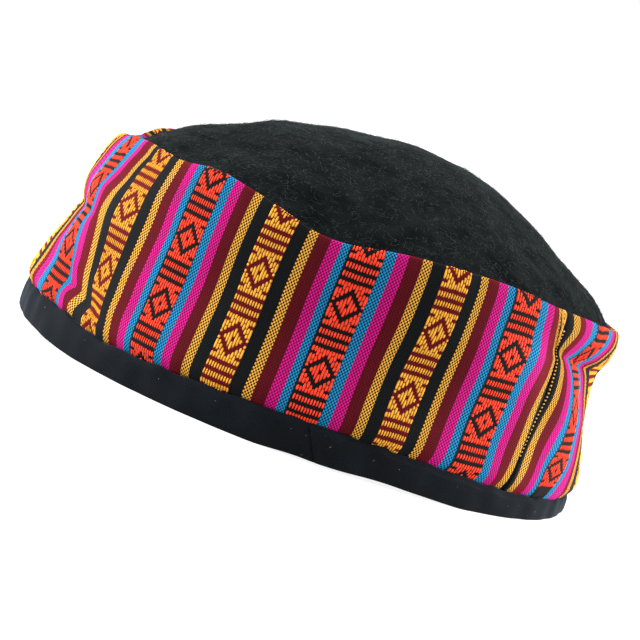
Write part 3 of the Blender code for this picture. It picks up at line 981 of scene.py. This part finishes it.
# %% [markdown]
# ## The felt crown
#
# The crown is one piece of black wool felt, eased over a block, so it has no seam of its own. It rises in a
# low uneven dome and its edge is turned down behind the band. Felt is never quite smooth: its surface has
# soft waves a few millimetres wide and a grain of matted wool. The waves are real geometry and the finest
# grain is a bump. The dome could be a squashed ball, but this one leans to one side and has broad swells
# and hollows, which a table gives.

# %% Write down the crown's shape
FELT_THICKNESS = 2.0
CROWN_BASE = 61.5
CROWN_RISE = 30.6
CROWN_PEAK_X = 12.0
CROWN_ROUNDING = 1.7
CROWN_BLUNTNESS = 0.2
INSIDE_BAND_GAP = 0.4
CROWN_DENTS = {
    # name: x, y, rise, reach along x, reach along y
    "left end": (-63.0, 0.0, 2.4, 10.0, 45.0),
    "left shoulder": (-57.0, 0.0, 1.9, 17.0, 45.0),
    "left rise": (-38.0, 0.0, 1.0, 14.0, 40.0),
    "top swell": (-10.0, 0.0, 1.2, 20.0, 30.0),
    "left swell": (-36.0, 0.0, 1.3, 7.0, 40.0),
    "top hollow": (-5.0, 0.0, -1.5, 12.0, 40.0),
    "right hollow": (36.0, 0.0, -2.0, 20.0, 38.0),
    "right rise": (25.0, 0.0, 0.6, 5.0, 30.0),
    "right swell": (37.0, 0.0, 1.9, 11.0, 38.0),
    "right shoulder": (52.0, 0.0, 0.9, 8.0, 35.0),
    "right end": (81.0, 0.0, 2.6, 9.0, 30.0),
    "front hollow": (-12.0, -52.0, -1.2, 26.0, 12.0),
}
FELT_EDGE = (
    # in from the cloth's edge, below the cloth's top, share of the cloth
    (0.45, 0.8, 1.0),
    (0.55, 2.6, 0.94),
    (0.40, 4.8, 0.90),
    (0.40, 7.2, 0.86),
)
# Wavelength and height of each of the felt's waves
FELT_WAVES = ((22.0, 0.45), (7.0, 0.16), (2.2, 0.07))
# Angle, depth and half angle of the dip at the left of the back
FELT_DIP = (-97.0, 3.2, 22.0)
print("Swells and dents of the crown:", ", ".join(CROWN_DENTS))

# %% [markdown]
# ## Shaping the crown
#
# The crown is a grid too: its columns go round the cap and its rows go from the turned-down edge up to the
# peak. Each row is the seam's outline drawn in towards the peak, so the dome meets the band exactly all
# round and grows rounder towards the top.

# %% Shape the felt crown


def felt_seam_height(angle):
    """Height of the cloth's top where it meets the felt, which dips at the left of the back."""
    centre, depth, half_angle = FELT_DIP
    side = (angle - centre + 180) % 360 - 180
    return section("top", angle) - depth * np.exp(-((side / half_angle) ** 2))


def crown_points(angle, share):
    """The felt's outer face at a share of the way from the crown's peak to its seam."""
    edge_radius, _ = cloth_radius_height(angle, np.ones_like(angle))
    in_from_edge, below_top, _ = FELT_EDGE[0]
    seam = around(edge_radius - in_from_edge, angle, felt_seam_height(angle) - below_top)
    peak = np.array((CROWN_PEAK_X, 0.0, 0.0))
    points = peak + (seam - peak) * share[..., None]
    slope = (share**2 + CROWN_BLUNTNESS**2) ** (CROWN_ROUNDING / 2)
    full_slope = (1 + CROWN_BLUNTNESS**2) ** (CROWN_ROUNDING / 2)
    points[..., 2] = seam[..., 2] * share**2 + CROWN_BASE * (1 - share**2) + CROWN_RISE * (full_slope - slope)
    for x, y, swell, reach_x, reach_y in CROWN_DENTS.values():
        away = ((points[..., 0] - x) / reach_x) ** 2 + ((points[..., 1] - y) / reach_y) ** 2
        points[..., 2] += swell * np.exp(-away) * (1 - share**6)
    return points


def felt_edge_points(angle, row):
    """One row of the felt's edge behind the cloth, clear of the cloth's inner face."""
    in_from_edge, below_top, share = row
    edge_radius, _ = cloth_radius_height(angle, np.ones_like(angle))
    band_radius, _ = cloth_radius_height(angle, np.full_like(angle, share))
    radius = np.minimum(edge_radius - in_from_edge, band_radius - CLOTH_THICKNESS - INSIDE_BAND_GAP)
    return around(radius, angle, felt_seam_height(angle) - below_top)


def felt_waves(points):
    """How far the felt's uneven surface stands out at each point."""
    heights = np.zeros(len(points))
    for length, height in FELT_WAVES:
        heights += [height * noise.noise(Vector(point) / length) for point in points.tolist()]
    return heights


FELT_COLUMNS, FELT_ROWS = 360, 84
felt_angles = np.arange(FELT_COLUMNS) * 360.0 / FELT_COLUMNS
felt_shares = np.linspace(1.0, 0.012, FELT_ROWS)
edge_rows = [felt_edge_points(felt_angles, row) for row in reversed(FELT_EDGE[1:])]
angle_grid, share_grid = np.meshgrid(felt_angles, felt_shares)
felt = np.concatenate([np.stack(edge_rows), crown_points(angle_grid, share_grid)])
felt_normals = grid_normals(felt, goes_round=True)
fade = np.concatenate([np.zeros(len(edge_rows)), np.clip((1 - felt_shares) / 0.05, 0, 1)])
waves = felt_waves(felt.reshape(-1, 3)).reshape(felt.shape[:2]) * fade[:, None]
felt = felt + felt_normals * waves[..., None]
print("The felt rises to", round(float(felt[..., 2].max()), 1), "mm")

# %% [markdown]
# ## The finish of the felt
#
# Black wool felt is matt, because its matted fibres catch the light between them. It isn't one black: it is
# mottled where the fibres lie more or less closely, in grains about a millimetre wide and clouds about
# eight millimetres wide. Seen from the side it looks paler, because fibre ends stand up from it, which a
# faint sheen gives.

# %% Finish the felt and make the crown


def finish_felt():
    """Pressed black wool felt: dark and matt, mottled by its matted fibres, paler where it turns away."""
    finish, shader = new_finish("pressed_black_wool_felt")
    places = add_node(finish, "ShaderNodeTexCoord")
    in_mm_inputs = {0: places.outputs["Object"], "Scale": 1 / MM}
    in_mm = add_node(finish, "ShaderNodeVectorMath", in_mm_inputs, operation="SCALE")
    grain_inputs = {"Vector": in_mm, "Scale": 1.1, "Detail": 5.0, "Roughness": 0.7}
    grain = add_node(finish, "ShaderNodeTexNoise", grain_inputs)
    cloud = add_node(finish, "ShaderNodeTexNoise", {"Vector": in_mm, "Scale": 0.12, "Detail": 3.0})
    mottle = add_node(finish, "ShaderNodeMath", {0: grain, 1: cloud}, operation="ADD")
    amount = add_node(finish, "ShaderNodeMapRange", {"Value": mottle, "From Min": 0.75, "From Max": 1.3})
    wool_inputs = {"Factor": amount, "A": linear("#030404"), "B": linear("#0D1112")}
    wool = add_node(finish, "ShaderNodeMix", wool_inputs, data_type="RGBA")
    # Where the wool has matted less, more fibre ends stand up and catch the light
    raised = add_node(finish, "ShaderNodeMapRange", {"Value": amount, "To Min": 0.008, "To Max": 0.048})
    bump = add_node(finish, "ShaderNodeBump", {"Height": grain, "Strength": 0.7, "Distance": 0.4 * MM})
    fill_inputs(finish, shader, {
        "Base Color": wool,
        "Roughness": 0.95,
        "Specular IOR Level": 0.02,
        "Sheen Weight": raised,
        "Sheen Roughness": 0.35,
        "Sheen Tint": linear("#D8F4F4"),
        "Normal": bump,
    })
    return finish


felt_finish = finish_felt()
inside_felt = felt - felt_normals * FELT_THICKNESS
felt_crown = thick_sheet("felt_crown", felt, inside_felt, True, felt_finish, has_peak=True)

# %% [markdown]
# ## The folded cotton rim
#
# The rim is a strip of plain black cotton, folded over and sewn round the edge. Its section is a soft flat
# loop with a rounded fold. It closes with one small leaning join near the middle of the front, and from
# there to the right a fine ridge runs just below its top edge, where the seam allowance inside ends.

# %% Write down the rim's shape
RIM_RADIUS = 93.2
RIM_SECTION = (
    # distance in from the rim radius, share of the rim's height
    (2.30, 0.00),
    (0.50, 0.00),
    (0.10, 0.10),
    (0.00, 0.45),
    (0.15, 0.80),
    (0.60, 0.96),
    (1.10, 1.00),
    (2.10, 1.00),
    (2.60, 0.88),
    (2.60, 0.12),
)
RIM_HABITS = (
    # angle, how far the bottom is lifted off the ground, how far the rim is pressed in
    (-150, 0.0, 0.0),
    (-106, 1.2, 0.2),
    (-90, 1.6, 0.7),
    (-78, 1.7, 0.8),
    (-68, 1.3, 0.5),
    (-61, 1.0, 0.2),
    (-54, 0.4, 0.0),
    (-46, 0.0, -0.3),
    (-36, 0.0, -0.4),
    (-15, 0.0, -0.2),
    (-4, 0.0, 0.0),
    (3, 0.8, 0.0),
    (9, 0.7, 0.0),
    (20, 1.4, 0.0),
    (29, 0.8, 0.0),
    (38, 0.0, 0.0),
    (60, 0.0, 0.2),
    (76, 0.0, 1.0),
    (92, 0.0, 0.8),
    (120, 0.0, 0.0),
)
RIM_JOIN_ANGLE = 5.9
RIM_JOIN_LEAN = -0.33
RIM_JOIN_GROOVE = 0.6
RIM_JOIN_FOLD = 0.25
RIM_RIDGE_HEIGHT = 0.45
# The angles at which the ridge starts and ends, and how far below the rim's top it is
RIM_RIDGE = (8.0, 54.0, 1.3)
print("Points of the rim's section:", len(RIM_SECTION))

# %% [markdown]
# ## Shaping the rim
#
# The section is a closed loop that is carried round the cap, lifted and pressed in as its table says. A
# join shows because the cotton dips into its seam and swells over the fold beside it, so the columns stand
# closer there: a groove of half a millimetre is lost between columns that are a millimetre apart.

# %% Shape the rim
STEPS_PER_POINT = 8
COLUMN_ANGLE = 0.75
COLUMN_ANGLE_AT_JOIN = 0.1


def smooth_loop(values, steps):
    """A closed smooth curve through values, with a number of steps from each to the next."""
    count = len(values)
    places = np.arange(-count, 2 * count)
    return smooth_rows(np.arange(count * steps) / steps, places, list(values) * 3)


def rim_relief(angle, height, rim_height, outside):
    """How far the folded cotton stands in or out: its join, its ridge and the slight waves of hand sewing."""
    below_top = rim_height - height
    from_join = (angle - RIM_JOIN_ANGLE - RIM_JOIN_LEAN * (height - 5.0)) * math.radians(RIM_RADIUS)
    relief = -RIM_JOIN_GROOVE * np.exp(-((from_join / 0.3) ** 2))
    relief = relief + RIM_JOIN_FOLD * np.exp(-((from_join - 1.2) / 1.1) ** 2)
    start, end, depth = RIM_RIDGE
    along_ridge = 1 / (1 + np.exp(-(angle - start) / 0.6)) / (1 + np.exp((angle - end) / 1.5))
    relief = relief - RIM_RIDGE_HEIGHT * along_ridge / (1 + np.exp((below_top - depth) / 0.12))
    waves = 0.14 * np.sin(np.radians(angle) * 31 + 0.3 * height) + 0.10 * np.sin(np.radians(angle) * 57 + 1.0)
    return (relief + waves) * outside


near_rim_join = np.arange(RIM_JOIN_ANGLE - 2.6, RIM_JOIN_ANGLE + 2.6, COLUMN_ANGLE_AT_JOIN)
rim_angles = np.union1d(np.arange(-180, 180, COLUMN_ANGLE), near_rim_join)
RIM_COLUMNS = len(rim_angles)
distances_in, rim_shares = (smooth_loop(column, STEPS_PER_POINT) for column in zip(*RIM_SECTION))
habit_angles, lifts, presses = zip(*RIM_HABITS)
bottom = np.maximum(smooth_rows(rim_angles, habit_angles, lifts), 0.0)
pressed_in = smooth_rows(rim_angles, habit_angles, presses)
rim_waves = 0.24 * np.sin(np.radians(rim_angles) * 41 + 1.0) + 0.14 * np.sin(np.radians(rim_angles) * 67)
rim_height = section("rim", rim_angles) + rim_waves
rim_rise = bottom + (rim_height - bottom) * np.clip(rim_shares, 0.0, None)[:, None]
outside = np.clip(1 - distances_in / 1.2, 0, 1)[:, None]
relief = rim_relief(rim_angles, rim_rise, rim_height, outside)
rim = around(RIM_RADIUS - pressed_in - distances_in[:, None] + relief, rim_angles, rim_rise)
rim_number = np.arange(rim.shape[0] * RIM_COLUMNS).reshape(rim.shape[0], RIM_COLUMNS)
rim_next = np.roll(rim_number, -1, axis=1)
rim_corners = [rim_number, rim_next, np.roll(rim_next, -1, axis=0), np.roll(rim_number, -1, axis=0)]
rim_faces = np.stack(rim_corners, axis=-1)
rim_flat = np.stack(np.broadcast_arrays(np.radians(rim_angles) * RIM_RADIUS, rim_rise, 0.0), axis=-1)
print("The rim is", round(float(rim_height.min()), 1), "to", round(float(rim_height.max()), 1), "mm high")

# %% [markdown]
# ## The finish of the rim
#
# Plain black cotton is matt and a shade bluer than the felt. Its threads cross evenly, so it has no lines,
# only a fine grain, and it wears a little paler in patches one or two centimetres wide.

# %% Finish the rim and make it


def finish_rim():
    """Plain woven black cotton, dyed in the piece: matt, slightly blue, with a fine even weave."""
    finish, shader = new_finish("plain_woven_black_cotton")
    kept = add_node(finish, "ShaderNodeAttribute", attribute_name="flat_place")
    place = kept.outputs["Vector"]
    # The threads are 0.25 mm apart, too fine to show one by one, so what the eye gets is a grain 0.5 mm wide
    threads = add_node(finish, "ShaderNodeTexNoise", {"Vector": place, "Scale": 2.0, "Detail": 2.0})
    wear = add_node(finish, "ShaderNodeTexNoise", {"Vector": place, "Scale": 0.07, "Detail": 3.0})
    both = add_node(finish, "ShaderNodeMath", {0: threads, 1: wear}, operation="ADD")
    amount = add_node(finish, "ShaderNodeMapRange", {"Value": both, "From Min": 0.7, "From Max": 1.3})
    cotton_inputs = {"Factor": amount, "A": linear("#0B0D10"), "B": linear("#14171B")}
    cotton = add_node(finish, "ShaderNodeMix", cotton_inputs, data_type="RGBA")
    bump = add_node(finish, "ShaderNodeBump", {"Height": threads, "Strength": 0.3, "Distance": 0.1 * MM})
    fill_inputs(finish, shader, {
        "Base Color": cotton,
        "Roughness": 0.8,
        "Specular IOR Level": 0.03,
        "Sheen Weight": 0.1,
        "Sheen Roughness": 0.3,
        "Sheen Tint": linear("#C8E0FF"),
        "Normal": bump,
    })
    return finish


rim_finish = finish_rim()
rim_quads = rim_faces.reshape(-1, 4).tolist()
cotton_rim = new_piece("cotton_rim", rim, rim_quads, rim_finish, rim_flat.reshape(-1, 3))

# %% [markdown]
# ## Fuzz and lint
#
# Wool felt is covered with fine curly hairs that have worked loose, and black cloth gathers pale lint. A
# hair is a three-sided tube along a curved path, which thins towards its tip. Blender has hair curves for
# this, but a mesh is the plainer choice: it is the same in every view and in an export, and the number of
# triangles stays known.

# %% Make fibres
FIBRE_STATIONS = 5
FIBRE_SIDES = 3


def lay_fibres(name, roots, outward, lengths, radii, curl, lift, finish):
    """Curved fibres that start at roots and run along the surface in chance directions."""
    count = len(roots)
    other = np.cross(outward, chance.normal(size=(count, 3)))
    heading = other / np.linalg.norm(other, axis=1, keepdims=True)
    sideways = np.cross(outward, heading)
    s = np.linspace(0, 1, FIBRE_STATIONS)[None, :, None]
    bend = chance.uniform(-1, 1, (count, 1, 1)) * curl * np.sin(np.pi * s)
    wiggle = 0.35 * curl * np.sin(2 * np.pi * (s * 1.3 + chance.uniform(0, 1, (count, 1, 1))))
    rise = lift[:, None, None] * np.sin(np.pi * s * chance.uniform(0.5, 1.0, (count, 1, 1)))
    length = lengths[:, None, None]
    path = roots[:, None] + heading[:, None] * length * s + sideways[:, None] * length * (bend + wiggle)
    path = path + outward[:, None] * rise
    turns = np.arange(FIBRE_SIDES) * 2 * np.pi / FIBRE_SIDES
    ring = np.cos(turns)[None, :, None] * sideways[:, None] + np.sin(turns)[None, :, None] * outward[:, None]
    thin = radii[:, None, None, None] * (1 - 0.7 * s[..., None])
    points = path[:, :, None] + ring[:, None] * thin
    first = np.arange(count)[:, None, None] * FIBRE_STATIONS * FIBRE_SIDES
    quads = []
    for station in range(FIBRE_STATIONS - 1):
        for side in range(FIBRE_SIDES):
            a, b = station * FIBRE_SIDES + side, station * FIBRE_SIDES + (side + 1) % FIBRE_SIDES
            quads.append((a, b, b + FIBRE_SIDES, a + FIBRE_SIDES))
    tip = (FIBRE_STATIONS - 1) * FIBRE_SIDES
    faces = (first + np.array(quads)[None]).reshape(-1, 4).tolist()
    faces += (first + np.array([(2, 1, 0), (tip, tip + 1, tip + 2)])[None]).reshape(-1, 3).tolist()
    return new_piece(name, points, faces, finish)


FUZZ_COUNT = 6600
fuzz_rows = (len(edge_rows) + (FELT_ROWS - 6) * (1 - np.sqrt(chance.uniform(0, 1, FUZZ_COUNT)))).astype(int)
fuzz_columns = chance.integers(0, FELT_COLUMNS, FUZZ_COUNT)
felt_fuzz = lay_fibres(
    "felt_fuzz",
    felt[fuzz_rows, fuzz_columns],
    felt_normals[fuzz_rows, fuzz_columns],
    lengths=chance.uniform(0.8, 3.2, FUZZ_COUNT),
    radii=chance.uniform(0.025, 0.045, FUZZ_COUNT),
    curl=0.35,
    lift=chance.uniform(0.05, 0.55, FUZZ_COUNT),
    finish=finish_fibre("loose_wool_hair", "#2E3438"),
)

LINT_COUNT = 44
lint_columns = chance.integers(0, RIM_COLUMNS, LINT_COUNT)
lint_rows = chance.integers(STEPS_PER_POINT * 2, STEPS_PER_POINT * 4, LINT_COUNT)
rim_outward = around(1.0, rim_angles[lint_columns], 0.0)
rim_lint = lay_fibres(
    "rim_lint",
    rim[lint_rows, lint_columns],
    rim_outward,
    lengths=chance.uniform(0.15, 0.6, LINT_COUNT),
    radii=chance.uniform(0.03, 0.07, LINT_COUNT),
    curl=0.3,
    lift=chance.uniform(0.02, 0.1, LINT_COUNT),
    finish=finish_fibre("pale_cotton_lint", "#8E9298"),
)

# %% [markdown]
# ## What stands for what
#
# Each fine piece rides on the cap's one body and replaces the plain solid in whose place it lies. The
# floats lie on the band, the fuzz on the felt and the lint on the rim. The band was cut as a strip about 62
# mm wide and 563 mm long before it was gathered into its seams.

# %% Tell the frame
REPLACED = {
    # piece: the solid that it stands for, or None, and a name for its finish
    woven_band: ("side_band", "woven_cotton"),
    orange_floats: (None, "woven_cotton"),
    yellow_floats: (None, "woven_cotton"),
    lone_warp_dots: (None, "woven_cotton"),
    frayed_threads: (None, "woven_cotton"),
    felt_crown: ("crown", "wool_felt"),
    felt_fuzz: (None, "wool_felt"),
    cotton_rim: ("rim_band", "black_cotton"),
    rim_lint: (None, "black_cotton"),
}
for piece, (node, slot) in REPLACED.items():
    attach(piece, "root")
    if node:
        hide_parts(node)
print("Pieces:", ", ".join(piece.name for piece in REPLACED))
